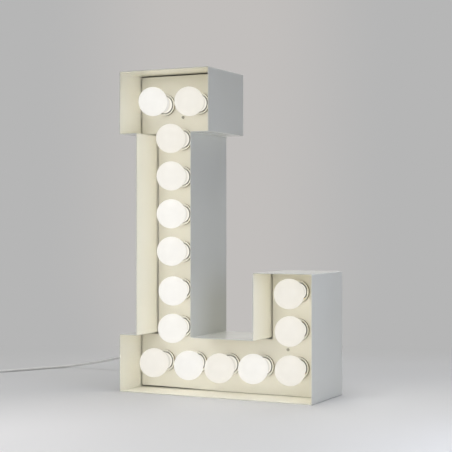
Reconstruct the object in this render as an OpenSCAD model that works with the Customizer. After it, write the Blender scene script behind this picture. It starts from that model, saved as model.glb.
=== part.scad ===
// Light-up letter L: an open-fronted sheet-metal letter with opal globe lamps standing in its tray.
// Millimetres. Z is up, the open front faces -Y and the origin lies under the middle of the base.

/* [Letter] */
// Overall height
letter_h = 600; // [570:1:660]
// Overall width
letter_w = 390; // [376:1:430]
// Depth from the front edge to the rear edge
letter_d = 144; // [128:1:170]
// Width of the serif on top of the stem
cap_w = 188; // [176:1:200]
// Height of the serif on top of the stem
cap_h = 118; // [104:1:130]
// Width of the stem
stem_w = 116; // [104:1:130]
// Height of the foot and of the arm
arm_h = 108; // [98:1:120]
// Width of the upstand at the end of the arm
upstand_w = 114; // [100:1:126]
// Height of the upstand above the base
upstand_h = 228; // [210:1:250]

/* [Sheet metal] */
// Thickness of the folded wall
sheet = 1.5; // [1:0.1:2.5]
// Outside radius of the folds
fold_r = 2.2; // [2:0.1:5]
// Room behind the panel for the lamp holders and their wiring
wiring_room = 61; // [59:0.5:66]
// Thickness of the lamp panel
panel_t = 1.5; // [1:0.1:3]
// Shadow gap between the lamp panel and the wall
panel_gap = 2.7; // [1.5:0.1:5]
// Corner radius of the lamp panel
panel_r = 2; // [1:0.5:6]
// Thickness of the rear cover
cover_t = 1.5; // [1:0.1:3]
// How far the rear cover sits inside the rear edge
cover_inset = 3; // [2.6:0.1:6]
// Clearance round the rear cover
cover_gap = 0.5; // [0.2:0.1:1.5]

/* [Fixings] */
// Radius of a screw's thread
screw_r = 1.5; // [1.25:0.05:2]
// Radius of a screw's head
head_r = 2.9; // [2.6:0.1:3.6]
// Height of a screw's head
head_h = 2; // [1.6:0.1:2.4]
// Length of a screw under its head
screw_l = 8; // [6:0.5:12]
// Radius of a pillar between the lamp panel and the rear cover
pillar_r = 5; // [4:0.5:7]
// Length of a cover tab along the wall
tab_w = 22; // [14:1:30]
// Reach of a cover tab in from the wall
tab_reach = 16; // [12:1:20]
// Depth of a cover tab's welded leg
tab_leg = 14; // [8:1:20]
// Thickness of a cover tab
tab_t = 1.5; // [1:0.1:3]

/* [Lamps] */
// Distance between the two lamps of the cap
cap_lamp_gap = 74; // [66:1:84]
// Height step from the end rows to the first and last lamp of the stem
stem_end_step = 66.5; // [62:0.5:72]
// Top of the upstand to its highest lamp
upstand_margin = 35.5; // [32:0.5:40]
// Diameter of a globe
globe_d = 55; // [50:0.5:58]
// Face of the lamp panel to the middle of a globe
globe_out = 45; // [42:0.5:48]
// Radius of a globe's neck
neck_r = 15.5; // [15:0.1:17.6]
// Radius of the hollow curve between globe and neck
neck_fillet = 4; // [3:0.5:8]
// Thickness of the glass
glass_t = 1.2; // [0.8:0.1:2]
// Radius of the screw cap over its thread
cap_thread_r = 13.1; // [12.8:0.05:13.2]
// Depth of the cap's thread
thread_h = 0.8; // [0.4:0.1:1]
// Pitch of the cap's thread
thread_pitch = 3.62; // [3.2:0.02:4]
// Length of the cap's sleeve
cap_len = 21; // [20:0.5:24]
// Wall of the cap's sleeve
cap_wall = 0.6; // [0.3:0.1:0.9]

/* [Lamp holders] */
// Outside radius of the ring nut
ring_r = 20.5; // [20.2:0.1:23]
// How far the ring nut stands in front of the panel
ring_h = 5; // [4:0.1:7]
// Chamfer on the ring nut's front and rear edges
ring_bevel = 0.7; // [0.3:0.1:1]
// Thickness of the ring nut's front lip
lip_t = 1; // [0.6:0.1:1.5]
// Radius of the holder's skirt, which passes through the panel
skirt_r = 19; // [18.9:0.1:19.3]
// Radius of the holder's mouth
mouth_r = 18.1; // [18:0.05:18.3]
// Depth of the mouth behind the panel's face
mouth_depth = 7; // [6:0.5:9]
// Radius of the flange that seats behind the panel
flange_r = 24; // [22:0.5:27]
// Thickness of that flange
flange_t = 4; // [2.5:0.5:5]
// Outside radius of the holder's body
holder_r = 19.5; // [18:0.5:21]
// Panel's face to the front of the holder's floor
floor_depth = 38; // [37:0.5:40]
// Thickness of the holder's floor
floor_t = 4; // [3:0.5:5]
// Outside radius of the threaded shell
shell_r = 14.4; // [14.2:0.05:14.8]
// Thickness of the threaded shell
shell_t = 0.8; // [0.5:0.05:0.9]
// Radius of the sprung contact's head
contact_r = 4.5; // [3.5:0.1:6]
// Thickness of the sprung contact's head
contact_t = 1.5; // [1:0.1:2]
// Radius of the sprung contact's stem
stem_r = 2; // [1.5:0.1:2.5]
// Length of the sprung contact's stem
stem_l = 12; // [11:0.5:13]
// Side of a square terminal
terminal_w = 6; // [4:0.5:7]
// Depth of a terminal behind the holder's floor
terminal_d = 6; // [5:0.5:8]
// Distance of a terminal from the lamp's axis, sideways and upwards alike
terminal_off = 6.5; // [6:0.5:8]

/* [Wiring] */
// Diameter of the wires between the holders
wire_d = 2.4; // [1.6:0.1:3]
// Width of the terminal block
block_w = 26; // [20:1:30]
// Height of the terminal block
block_h = 20; // [16:1:24]
// Height of the terminal block's middle above the gland
block_up = 36; // [32:1:38]

/* [Cord] */
// Diameter of the cord
cord_d = 5.5; // [5:0.1:6]
// Left edge of the letter to the cord's gland
gland_in = 36; // [30:1:44]
// Height of the gland above the base
gland_z = 46; // [42:1:52]
// Radius of the gland's thread
gland_r = 6; // [5:0.25:7]
// Radius of the gland's collar
collar_r = 9; // [8:0.5:11]
// Thickness of the gland's collar
collar_t = 5; // [4:0.5:7]
// Length of the gland's thread behind the collar
gland_len = 8.5; // [8:0.5:10]
// Thickness of the gland's nut
nut_t = 4.5; // [3:0.5:5]
// Length of the tapered strain relief
relief_l = 40; // [30:1:50]
// Radius of the strain relief at its thick end
relief_r = 7.4; // [6.5:0.1:8]
// Radius of the strain relief at its thin end
relief_tip_r = 4.4; // [4:0.1:5]
// Grooves round the strain relief
relief_grooves = 6; // [4:1:8]
// Distance between neighbouring turns of the coil, and between its layers
coil_pitch = 6.1; // [6:0.05:7]
// Mean radius of the coil
coil_r = 31; // [28:0.5:33]
// Turns in each of the coil's two layers
coil_turns = 2.5; // [1.5:1:3.5]
// Width of the coil's tie
tie_w = 7; // [4:0.5:9]
// Thickness of the coil's tie
tie_t = 1; // [0.6:0.1:1.6]

/* [Switch and plug] */
// Length of the cord switch
switch_l = 66; // [60:1:72]
// Width of the cord switch
switch_w = 26; // [24:1:32]
// Height of the cord switch
switch_h = 19; // [18:0.5:22]
// Corner radius of the cord switch
switch_r = 7; // [3:0.5:11]
// Length of the rocker
rocker_l = 22; // [18:0.5:26]
// Width of the rocker
rocker_w = 12; // [10:0.5:14]
// Radius of the rocker's pivots
pivot_r = 1.5; // [1.2:0.1:2]
// Length of each of the rocker's pivots
pivot_l = 3; // [2:0.5:4]
// Tilt of the rocker to either side
rocker_tilt = 8; // [5:1:10]
// Thickness of the plug
plug_t = 20; // [16:0.5:20]
// Width of the plug at its pins
plug_w = 35; // [32:1:38]
// Width of the plug at its cord
plug_neck = 18; // [14:1:24]
// Length of the plug's body
plug_l = 38; // [32:1:46]
// Radius of a pin
pin_r = 2; // [1.8:0.1:2.4]
// Length of a pin
pin_l = 19; // [16:1:22]
// Distance between the pins
pin_gap = 18.6; // [17:0.1:20]

/* [Hidden] */
$fn = 64;
lamp_count = 15;
function lamp_name(stem, k) = str(stem, k < 10 ? "_0" : "_", k);
bulb_names = [for (k = [1:lamp_count]) lamp_name("bulb", k)];
contact_names = [for (k = [1:lamp_count]) lamp_name("contact", k)];
fixed_names = ["return_wall", "cover_tabs", "rear_cover", "rear_screws", "lamp_panel", "panel_pillars",
    "panel_screws", "holder_bodies", "holder_rings", "holder_shells", "contact_springs", "holder_terminals",
    "live_wire", "neutral_wire", "terminal_block", "cord_cores", "cord_gland", "gland_nut", "strain_relief",
    "supply_cord", "switch_base", "switch_cover", "switch_contacts", "switch_rocker", "switch_screws",
    "tail_cord", "cord_coil", "coil_tie", "plug_body", "plug_pins"];

// Clearances
slip = 0.05;
loose = 0.2;
lay_gap = 0.2;
bore_gap = 0.35;
tie_gap = 0.6;
nudge = 0.01;

// Finishes
paint = "#e8e4d6";
paint_inside = "#e2dac2";
porcelain = "#f2efe4";
opal = "#fffaf0";
brass = "#c9a552";
zinc = "#9a9c98";
cord_grey = "#c9cac8";

// Letter's planes
left_x = -letter_w / 2;
right_x = letter_w / 2;
back_y = letter_d / 2;
cap_right = left_x + cap_w;
axis_x = left_x + cap_w / 2;
stem_left = axis_x - stem_w / 2;
stem_right = axis_x + stem_w / 2;
upstand_left = right_x - upstand_w;
upstand_x = right_x - upstand_w / 2;
cap_bottom = letter_h - cap_h;
cover_back = back_y - cover_inset;
cover_y = cover_back - cover_t;
panel_back = cover_y - wiring_room;
panel_y = panel_back - panel_t;

// Lamp axes, cap first, then down the stem, along the arm and up the upstand
cap_lamps = 2;
stem_lamps = 6;
arm_lamps = 5;
upstand_lamps = 2;
arm_z = arm_h / 2;
cap_z = letter_h - cap_h / 2;
stem_top_z = cap_z - stem_end_step;
stem_low_z = arm_z + stem_end_step;
stem_step = (stem_top_z - stem_low_z) / (stem_lamps - 1);
arm_x = axis_x - cap_lamp_gap / 2;
arm_step = (upstand_x - arm_x) / (arm_lamps - 1);
upstand_step = (upstand_h - upstand_margin - arm_z) / upstand_lamps;
lamps = concat(
    [for (k = [0:cap_lamps - 1]) [axis_x + (k - 0.5) * cap_lamp_gap, cap_z]],
    [for (k = [0:stem_lamps - 1]) [axis_x, stem_top_z - k * stem_step]],
    [for (k = [0:arm_lamps - 1]) [arm_x + k * arm_step, arm_z]],
    [for (k = [1:upstand_lamps]) [upstand_x, arm_z + k * upstand_step]]);

// Pillars under the cap, below the stem's lowest lamp and in the arm's corner
cap_pillar_up = 42;
foot_pillar_up = 41;
foot_pillar_left = 15;
arm_pillar_up = 32;
arm_pillar_back = 22;
pillars = [[axis_x, stem_top_z + cap_pillar_up], [axis_x - foot_pillar_left, arm_z + foot_pillar_up],
    [upstand_x - arm_pillar_back, arm_z + arm_pillar_up]];

// Cover tabs as place on the wall's inside and turn inwards
tab_in = 50;
top_turn = -90;
base_turn = 90;
left_turn = 0;
right_turn = 180;
stem_mid_z = (arm_h + cap_bottom) / 2;
tabs = [[axis_x - tab_in, letter_h - sheet, top_turn], [axis_x + tab_in, letter_h - sheet, top_turn],
    [left_x + tab_in, sheet, base_turn], [(left_x + right_x) / 2, sheet, base_turn],
    [right_x - tab_in, sheet, base_turn], [stem_left + sheet, stem_mid_z, left_turn],
    [stem_right - sheet, stem_mid_z, right_turn], [right_x - sheet, (arm_h + upstand_h) / 2, right_turn]];
tab_hole = tab_reach / 2 + tab_t / 2;
function tab_screw(tab) = [tab[0] + tab_hole * cos(tab[2]), tab[1] + tab_hole * sin(tab[2])];
rear_places = concat([for (tab = tabs) tab_screw(tab)], pillars);

// Depths along a lamp's axis, from the panel's face, positive to the rear
cap_step = 1;
shell_step = 2;
insulator_t = 3.5;
button_t = 1.2;
button_r = 4.8;
insulator_r = 5.5;
touch_gap = 0.1;
cap_front = mouth_depth - cap_step;
cap_back = cap_front + cap_len;
button_front = cap_back + insulator_t;
button_back = button_front + button_t;
contact_front = button_back + touch_gap;
contact_back = contact_front + contact_t;
skirt_front = -(ring_h - lip_t);
shell_front = mouth_depth + shell_step;
floor_back = floor_depth + floor_t;
terminal_back = floor_back + terminal_d;
thread_count = floor((cap_len - 2 * cap_step) / thread_pitch);
neck_end = -1;

// Live wire passes behind its terminals, neutral wire behind the live one, and the block behind both
wire_step = wire_d + 2 * lay_gap;
live_y = panel_y + terminal_back + lay_gap + wire_d / 2;
neutral_y = live_y + wire_step;
block_y = neutral_y + wire_d / 2 + lay_gap;
wire_ease = 0.07;
gland_x = left_x + gland_in;
block_z = gland_z + block_up;
chain = concat([for (k = [14:-1:8]) lamps[k]], [[gland_x, block_z], [(stem_left + axis_x) / 2, stem_low_z]],
    [for (k = [7:-1:0]) lamps[k]]);

// Cord's route from the gland to the switch, laid by hand
cord_r = cord_d / 2;
cord_stub = 1.5;
cord_bore_r = cord_r + bore_gap;
cord_start_y = cover_back - gland_len - cord_stub;
relief_y = cover_back + collar_t;
cord_out_y = relief_y + relief_l;
laid_route = [[-160, 134, 46], [-167, 156, 45.5], [-184, 177, 45], [-210, 193, 43.5], [-240, 202, 41],
    [-275, 206, 38], [-308, 206, 34.5], [-338, 205, 31], [-366, 204, 27.5], [-404, 204, 19],
    [-444, 204, 11.5], [-480, 199, 5.5], [-508, 178, 2.9], [-528, 141, 2.9], [-541, 116, 2.9],
    [-555, 91, 2.9], [-572, 62, 2.9], [-581, 47, 3.6], [-590, 33, 6]];
switch_at = [-638, -44];
switch_turn = 238;
switch_z = switch_h / 2;
cord_lead = cord_d;
function along(at, turn, s, z) = [at[0] + s * cos(turn), at[1] + s * sin(turn), z];
supply_route = concat(
    [for (y = [cord_start_y, cover_back, relief_y, cord_out_y]) [gland_x, y, gland_z]], laid_route,
    [for (s = [2 * cord_lead, lay_gap]) along(switch_at, switch_turn, -switch_l / 2 - s, switch_z)]);

// Coil: in and out again in two layers, climbing in the half turn where the spiral turns back
coil_low = cord_r + tie_gap + tie_t + slip;
coil_high = coil_low + coil_pitch;
coil_outer = coil_r + coil_pitch * coil_turns / 2;
coil_inner = coil_r - coil_pitch * coil_turns / 2;
coil_all = 2 * coil_turns + 0.5;
coil_rings = 24;
coil_sides = 6;
tail_l = 44;
plug_lead = 30;
coil_entry = along(switch_at, switch_turn, switch_l / 2 + tail_l, coil_low);
coil_mid = along(coil_entry, switch_turn + 90, coil_outer, 0);
function climb(t) = let(s = min(max((t - coil_turns) * 2, 0), 1)) s * s * (3 - 2 * s);
function coil_rad(t) = t < coil_turns + 0.25 ? coil_outer - coil_pitch * t
    : coil_inner - coil_pitch * 0.25 + coil_pitch * (t - coil_turns - 0.25);
function coil_point(t) = let(a = switch_turn - 90 + 360 * t)
    along(coil_mid, a, coil_rad(t), coil_low + coil_pitch * climb(t));
coil_turn = switch_turn + 360 * coil_all;
coil_end = coil_point(coil_all);
coil_loops = [for (k = [0:coil_rings * coil_all]) coil_point(k / coil_rings)];
coil_route = concat([along(coil_entry, switch_turn, -cord_lead, coil_low)], coil_loops,
    [for (s = [plug_lead / 2, plug_lead]) along(coil_end, coil_turn, s, coil_high)]);
coil_gap = min([for (i = [0:len(coil_loops) - 1]) for (j = [0:i - coil_rings / 2])
    norm(coil_loops[i] - coil_loops[j])]) - cord_d;
echo(coil_least_gap = coil_gap);
tail_route = concat(
    [for (s = [lay_gap, cord_lead]) along(switch_at, switch_turn, switch_l / 2 + s, switch_z)],
    [along(switch_at, switch_turn, switch_l / 2 + tail_l / 2, (switch_z + coil_low) / 2)],
    [for (s = [2 * cord_lead, cord_lead + lay_gap]) along(coil_entry, switch_turn, -s, coil_low)]);
plug_at = along(coil_end, coil_turn, plug_lead, coil_high);

// Rocker and its housing
pivot_down = 3.5;
pivot_z = switch_h - pivot_down;
rocker_edge = 3.2;
rocker_dip = 1.9;
rocker_deep = 2.5;
rocker_room = 1;
cheek_gap = 0.4;
shell_floor = 3;
blade_t = 0.8;
blade_w = 6;
blade_gap = 1;
switch_screw_x = switch_l / 2 - switch_r - 2;
switch_screw_l = switch_z + 1;

// Points of a polygon with each corner rounded by its own radius; corners are square
function unit(v) = v / norm(v);
function rounded(points, radii, steps = 4) = [for (k = [0:len(points) - 1])
    let(n = len(points), p = points[k], r = radii[k], u = unit(points[(k + n - 1) % n] - p),
        v = unit(points[(k + 1) % n] - p), c = p + (u + v) * r)
    each (r <= 0 ? [p] : [for (s = [0:steps]) c - r * (v * cos(90 * s / steps) + u * sin(90 * s / steps))])];
function box_points(w, h) = [[-w / 2, -h / 2], [w / 2, -h / 2], [w / 2, h / 2], [-w / 2, h / 2]];
function even(n, r) = [for (k = [1:n]) r];

// Letter's outline, drawn in by an inset, with one radius for outer and one for inner corners
inner_corners = [4, 5, 6, 11, 12];
function corner_radii(outer, inner) = [for (k = [0:13]) len(search(k, inner_corners)) > 0 ? inner : outer];
function letter_points(i) = [[left_x + i, i], [right_x - i, i], [right_x - i, upstand_h - i],
    [upstand_left + i, upstand_h - i], [upstand_left + i, arm_h - i], [stem_right - i, arm_h - i],
    [stem_right - i, cap_bottom + i], [cap_right - i, cap_bottom + i], [cap_right - i, letter_h - i],
    [left_x + i, letter_h - i], [left_x + i, cap_bottom + i], [stem_left + i, cap_bottom + i],
    [stem_left + i, arm_h - i], [left_x + i, arm_h - i]];
function fold_points(i) = rounded(letter_points(i), corner_radii(fold_r - i, fold_r - sheet + i));
function plate_points(i, r) = rounded(letter_points(i), corner_radii(r, r));

// Smooth curve through a list of points, and a tube swept along a list of points
function curve(p, n) = concat([for (k = [0:len(p) - 2]) for (s = [0:n - 1])
    let(a = p[max(k - 1, 0)], b = p[k], c = p[k + 1], d = p[min(k + 2, len(p) - 1)], t = s / n)
    b + (c - a) * t / 2 + (a * 2 - b * 5 + c * 4 - d) * t * t / 2 + (b * 3 - a - c * 3 + d) * t * t * t / 2],
    [p[len(p) - 1]]);
function tangent(p, k) = unit(p[min(k + 1, len(p) - 1)] - p[max(k - 1, 0)]);
module tube(p, r, sides, up = [0, 0, 1]) {
    n = len(p);
    rings = [for (k = [0:n - 1]) let(t = tangent(p, k), side = unit(cross(t, up)), rise = cross(side, t))
        for (j = [0:sides - 1]) p[k] + r * (side * cos(360 * j / sides) + rise * sin(360 * j / sides))];
    walls = [for (k = [0:n - 2]) for (j = [0:sides - 1])
        let(a = k * sides + j, b = k * sides + (j + 1) % sides)
        each [[a, a + sides, b], [b, a + sides, b + sides]]];
    ends = [for (j = [1:sides - 2]) each [[0, j, j + 1],
        [(n - 1) * sides, (n - 1) * sides + j + 1, (n - 1) * sides + j]]];
    polyhedron(points = rings, faces = concat(walls, ends));
}

// Shapes shared by several pieces
module plate(points, y, t) {
    translate([0, y + t, 0]) rotate([90, 0, 0]) linear_extrude(t) polygon(points);
}
module on_axis(at) {
    translate([at[0], panel_y, at[1]]) rotate([-90, 0, 0]) children();
}
module hole(x, y, z, r, l) {
    translate([x, y, z]) rotate([-90, 0, 0]) cylinder(r = r, h = l);
}
module on_wall(tab) {
    translate([tab[0], cover_y, tab[1]]) rotate([0, -tab[2], 0]) children();
}
module screw() {
    slot_l = head_r * 1.2;
    slot_w = head_h * 0.4;
    cylinder(r = screw_r, h = screw_l);
    difference() {
        translate([0, 0, -head_h]) cylinder(r1 = head_r * 0.8, r2 = head_r, h = head_h);
        for (a = [0, 90]) rotate(a)
            translate([-slot_l / 2, -slot_w / 2, -head_h]) cube([slot_l, slot_w, head_h / 2]);
    }
}
module on_cord(at, turn) {
    translate([at[0], at[1], 0]) rotate(turn) children();
}

// Folded wall that follows the letter's outline
module return_wall() {
    color(paint) translate([0, back_y, 0]) rotate([90, 0, 0]) linear_extrude(letter_d) difference() {
        polygon(fold_points(0));
        polygon(fold_points(sheet));
    }
}

// Angles welded inside the wall, to which the rear cover is screwed
module cover_tabs() {
    color(paint) for (tab = tabs) on_wall(tab) difference() {
        union() {
            translate([0, -tab_t, -tab_w / 2]) cube([tab_reach, tab_t, tab_w]);
            translate([0, -tab_leg, -tab_w / 2]) cube([tab_t, tab_leg, tab_w]);
        }
        hole(tab_hole, -tab_t - nudge, 0, screw_r + slip, tab_t + 2 * nudge);
    }
}

// Flat back of the letter
module rear_cover() {
    color(paint) difference() {
        plate(plate_points(sheet + cover_gap, panel_r), cover_y, cover_t);
        for (p = rear_places) hole(p[0], cover_y - nudge, p[1], screw_r + loose, cover_t + 2 * nudge);
        hole(gland_x, cover_y - nudge, gland_z, gland_r + loose, cover_t + 2 * nudge);
    }
}

// Screws through the rear cover into the tabs and the pillars
module rear_screws() {
    color(zinc) for (p = rear_places) translate([p[0], cover_back, p[1]]) rotate([90, 0, 0]) screw();
}

// Panel that carries the lamps, with a shadow gap all round
module lamp_panel() {
    color(paint_inside) difference() {
        plate(plate_points(sheet + panel_gap, panel_r), panel_y, panel_t);
        for (p = lamps) hole(p[0], panel_y - nudge, p[1], skirt_r + loose, panel_t + 2 * nudge);
        for (p = pillars) hole(p[0], panel_y - nudge, p[1], screw_r + loose, panel_t + 2 * nudge);
    }
}

// Pillars between the lamp panel and the rear cover, threaded at both ends
module panel_pillars() {
    spare = 2;
    thread_l = screw_l + spare;
    color(zinc) for (p = pillars) difference() {
        hole(p[0], panel_back, p[1], pillar_r, cover_y - panel_back);
        hole(p[0], panel_back - nudge, p[1], screw_r + slip, thread_l);
        hole(p[0], cover_y - thread_l, p[1], screw_r + slip, thread_l + nudge);
    }
}

// Screws through the lamp panel into the pillars
module panel_screws() {
    color("#77756c") for (p = pillars) translate([p[0], panel_y, p[1]]) rotate([-90, 0, 0]) screw();
}

// Insulating bodies of the lamp holders, pushed through the panel from behind
module holder_bodies() {
    shell_seat_r = shell_r + loose;
    profile = [[mouth_r, skirt_front], [skirt_r, skirt_front], [skirt_r, panel_t], [flange_r, panel_t],
        [flange_r, panel_t + flange_t], [holder_r, panel_t + flange_t], [holder_r, floor_back],
        [stem_r + loose, floor_back], [stem_r + loose, floor_depth], [shell_seat_r, floor_depth],
        [shell_seat_r, mouth_depth], [mouth_r, mouth_depth]];
    color(porcelain) for (p = lamps) on_axis(p) rotate_extrude() polygon(profile);
}

// Ring nuts that clamp the holders to the panel's face
module holder_rings() {
    bore = skirt_r + slip;
    profile = [[mouth_r, -ring_h], [ring_r - ring_bevel, -ring_h], [ring_r, ring_bevel - ring_h],
        [ring_r, -ring_bevel], [ring_r - ring_bevel, 0], [bore, 0], [bore, skirt_front],
        [mouth_r, skirt_front]];
    color(porcelain) for (p = lamps) on_axis(p) rotate_extrude() polygon(profile);
}

// Threaded shells that carry the bulbs' caps
module holder_shells() {
    color(brass) for (p = lamps) on_axis(p) translate([0, 0, shell_front]) difference() {
        cylinder(r = shell_r, h = floor_depth - shell_front);
        translate([0, 0, -nudge]) cylinder(r = shell_r - shell_t, h = floor_depth - shell_front + 2 * nudge);
    }
}

// Springs behind the centre contacts, drawn as plain sleeves
module contact_springs() {
    spring_r = contact_r * 0.9;
    color(zinc) for (p = lamps) on_axis(p) translate([0, 0, contact_back + lay_gap]) difference() {
        cylinder(r = spring_r, h = floor_depth - contact_back - lay_gap);
        translate([0, 0, -nudge]) cylinder(r = stem_r + loose, h = floor_depth);
    }
}

// Two terminals on the rear of each holder, the neutral one longer to reach its wire
module terminals(side, d) {
    corner = side * terminal_off - terminal_w / 2;
    for (p = lamps) translate([p[0] + corner, panel_y + floor_back, p[1] + corner])
        cube([terminal_w, d, terminal_w]);
}
module holder_terminals() {
    color(brass) {
        terminals(1, terminal_d);
        terminals(-1, terminal_d + wire_step);
    }
}

// Wire that runs past one row of terminals, offset to one side of the lamps' axes, with eased corners
module chain_wire(side, y) {
    route = [for (p = chain) [p[0] + side * terminal_off, y, p[1] + side * terminal_off]];
    eased = [for (k = [0:len(route) - 2]) each [route[k] * (1 - wire_ease) + route[k + 1] * wire_ease,
        route[k] * wire_ease + route[k + 1] * (1 - wire_ease)]];
    tube(concat([route[0]], eased, [route[len(route) - 1]]), wire_d / 2, 8, [0, 1, 0]);
}
module live_wire() {
    color("#7a5138") chain_wire(1, live_y);
}
module neutral_wire() {
    color("#4f6f9c") chain_wire(-1, neutral_y);
}

// Block that joins the wires to the cord
module terminal_block() {
    block_d = cover_y - block_y;
    post = block_w / 4;
    edge_r = 2;
    color("#d9d6cc") translate([gland_x, cover_y, block_z]) rotate([90, 0, 0]) difference() {
        linear_extrude(block_d) polygon(rounded(box_points(block_w, block_h), even(4, edge_r)));
        for (s = [-1, 1]) translate([s * post, 0, block_d / 2]) cylinder(r = screw_r, h = block_d);
    }
}

// Bared cores between the cord's end and the terminal block
module cord_cores() {
    core_r = wire_d / 2 - lay_gap;
    apart = core_r + lay_gap;
    bend = 2.5;
    entry_y = (block_y + cover_y) / 2;
    low_z = block_z - block_h / 2;
    color("#b9b4a6") for (x = [gland_x - apart, gland_x + apart]) tube(curve([
        [x, cord_start_y - lay_gap, gland_z], [x, cord_start_y - bend / 2, gland_z],
        [x, cord_start_y - bend, gland_z + bend], [x, cord_start_y - bend / 2, gland_z + 3 * bend],
        [x, entry_y, low_z - 2 * bend], [x, entry_y, low_z - bend], [x, entry_y, low_z - lay_gap]], 3),
        core_r, 8, [1, 0, 0]);
}

// Gland through the rear cover, and its nut inside
module cord_gland() {
    color("#dcdad2") translate([gland_x, cover_back, gland_z]) rotate([-90, 0, 0]) difference() {
        union() {
            cylinder(r = collar_r, h = collar_t);
            translate([0, 0, -gland_len]) cylinder(r = gland_r, h = gland_len);
        }
        translate([0, 0, -gland_len - nudge]) cylinder(r = cord_bore_r, h = gland_len + collar_t + 2 * nudge);
    }
}
module gland_nut() {
    color("#dcdad2") translate([gland_x, cover_y - nut_t, gland_z]) rotate([-90, 0, 0]) difference() {
        cylinder(r = collar_r, h = nut_t, $fn = 6);
        translate([0, 0, -nudge]) cylinder(r = gland_r + slip, h = nut_t + 2 * nudge);
    }
}

// Tapered and grooved sleeve over the cord where it leaves the gland
module strain_relief() {
    step = relief_l / (relief_grooves * 2 + 1);
    groove = 0.8;
    taper = (relief_r - relief_tip_r) / relief_l;
    outside = [for (k = [0:relief_grooves * 2]) for (z = [k * step, (k + 1) * step])
        [relief_r - taper * z - (k % 2) * groove, z]];
    color(cord_grey) translate([gland_x, relief_y, gland_z]) rotate([-90, 0, 0]) rotate_extrude()
        polygon(concat([[cord_bore_r, 0]], outside, [[cord_bore_r, relief_l]]));
}

// Cord from the gland to the switch, and from the switch to the coil
module supply_cord() {
    color(cord_grey) tube(curve(supply_route, 3), cord_r, 10);
}
module tail_cord() {
    color(cord_grey) tube(curve(tail_route, 2), cord_r, 10);
}

// Spare cord, wound in two layers
module cord_coil() {
    color(cord_grey) tube(coil_route, cord_r, coil_sides);
}

// Tie round the coil's turns
module coil_tie() {
    steps = ceil(coil_turns) - 1;
    wide = coil_pitch * steps + cord_d + 2 * tie_gap;
    tall = coil_pitch + cord_d + 2 * tie_gap;
    mean_r = coil_outer - coil_pitch * (0.25 + steps / 2);
    color("#55575a") on_cord(coil_mid, switch_turn) translate([mean_r, tie_w / 2, coil_low + coil_pitch / 2])
        rotate([90, 0, 0]) linear_extrude(tie_w) difference() {
            polygon(rounded(box_points(wide + 2 * tie_t, tall + 2 * tie_t), even(4, tie_t * 2)));
            polygon(rounded(box_points(wide, tall), even(4, tie_t)));
        }
}

// Cord switch: two half shells held by screws from below
module switch_block(z, h) {
    translate([0, 0, z]) linear_extrude(h)
        polygon(rounded(box_points(switch_l, switch_w), even(4, switch_r)));
}
module switch_pocket(z, h) {
    wide = rocker_w + 2 * cheek_gap;
    long = rocker_l + 2 * rocker_room;
    translate([-long / 2, -wide / 2, z]) cube([long, wide, h]);
}
module switch_base() {
    color("#e9e9e6") on_cord(switch_at, switch_turn) difference() {
        switch_block(0, switch_z);
        switch_pocket(shell_floor, switch_h);
        for (x = [-switch_screw_x, switch_screw_x]) translate([x, 0, -nudge]) {
            cylinder(r = screw_r + loose, h = switch_h);
            cylinder(r = head_r + loose, h = head_h + lay_gap + nudge);
        }
    }
}
module switch_cover() {
    bore_l = rocker_w + 2 * pivot_l + 2 * loose;
    color("#e9e9e6") on_cord(switch_at, switch_turn) difference() {
        switch_block(switch_z, switch_h - switch_z);
        switch_pocket(switch_z - nudge, switch_h);
        translate([0, -bore_l / 2, pivot_z]) rotate([-90, 0, 0]) cylinder(r = pivot_r + slip, h = bore_l);
        for (x = [-switch_screw_x, switch_screw_x]) translate([x, 0, switch_z - nudge])
            cylinder(r = screw_r + slip, h = switch_screw_l + head_h + 2 * lay_gap - switch_z);
    }
}
module switch_contacts() {
    blade_h = pivot_z - rocker_deep - rocker_l / 2 * sin(rocker_tilt) - shell_floor - blade_gap;
    color(brass) on_cord(switch_at, switch_turn) for (x = [-rocker_l / 4, rocker_l / 4])
        translate([x - blade_t / 2, -blade_w / 2, shell_floor]) cube([blade_t, blade_w, blade_h]);
}
module switch_rocker() {
    side = rocker_l / 2;
    axle_l = rocker_w + 2 * pivot_l;
    profile = [[-side, -rocker_deep], [side, -rocker_deep], [side, rocker_edge], [0, rocker_dip],
        [-side, rocker_edge]];
    color("#f6f5f0") on_cord(switch_at, switch_turn) translate([0, 0, pivot_z]) rotate([0, -rocker_tilt, 0]) {
        translate([0, rocker_w / 2, 0]) rotate([90, 0, 0]) linear_extrude(rocker_w) polygon(profile);
        translate([0, -axle_l / 2, 0]) rotate([-90, 0, 0]) cylinder(r = pivot_r, h = axle_l);
    }
}
module switch_screws() {
    color(zinc) on_cord(switch_at, switch_turn) for (x = [-switch_screw_x, switch_screw_x])
        translate([x, 0, lay_gap]) {
            cylinder(r = head_r, h = head_h);
            cylinder(r = screw_r, h = head_h + switch_screw_l);
        }
}

// Two-pin plug on the end of the coil
module plug_body() {
    tip = 8;
    points = [[0, -plug_neck / 2], [plug_l - tip, -plug_w / 2], [plug_l, -plug_w / 2], [plug_l, plug_w / 2],
        [plug_l - tip, plug_w / 2], [0, plug_neck / 2]];
    color("#e9e9e6") on_cord(plug_at, coil_turn) translate([0, 0, coil_high - plug_t / 2])
        linear_extrude(plug_t) polygon(points);
}
module plug_pins() {
    color(zinc) on_cord(plug_at, coil_turn) for (s = [-1, 1]) translate([plug_l, s * pin_gap / 2, coil_high])
        rotate([0, 90, 0]) cylinder(r = pin_r, h = pin_l);
}

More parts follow.
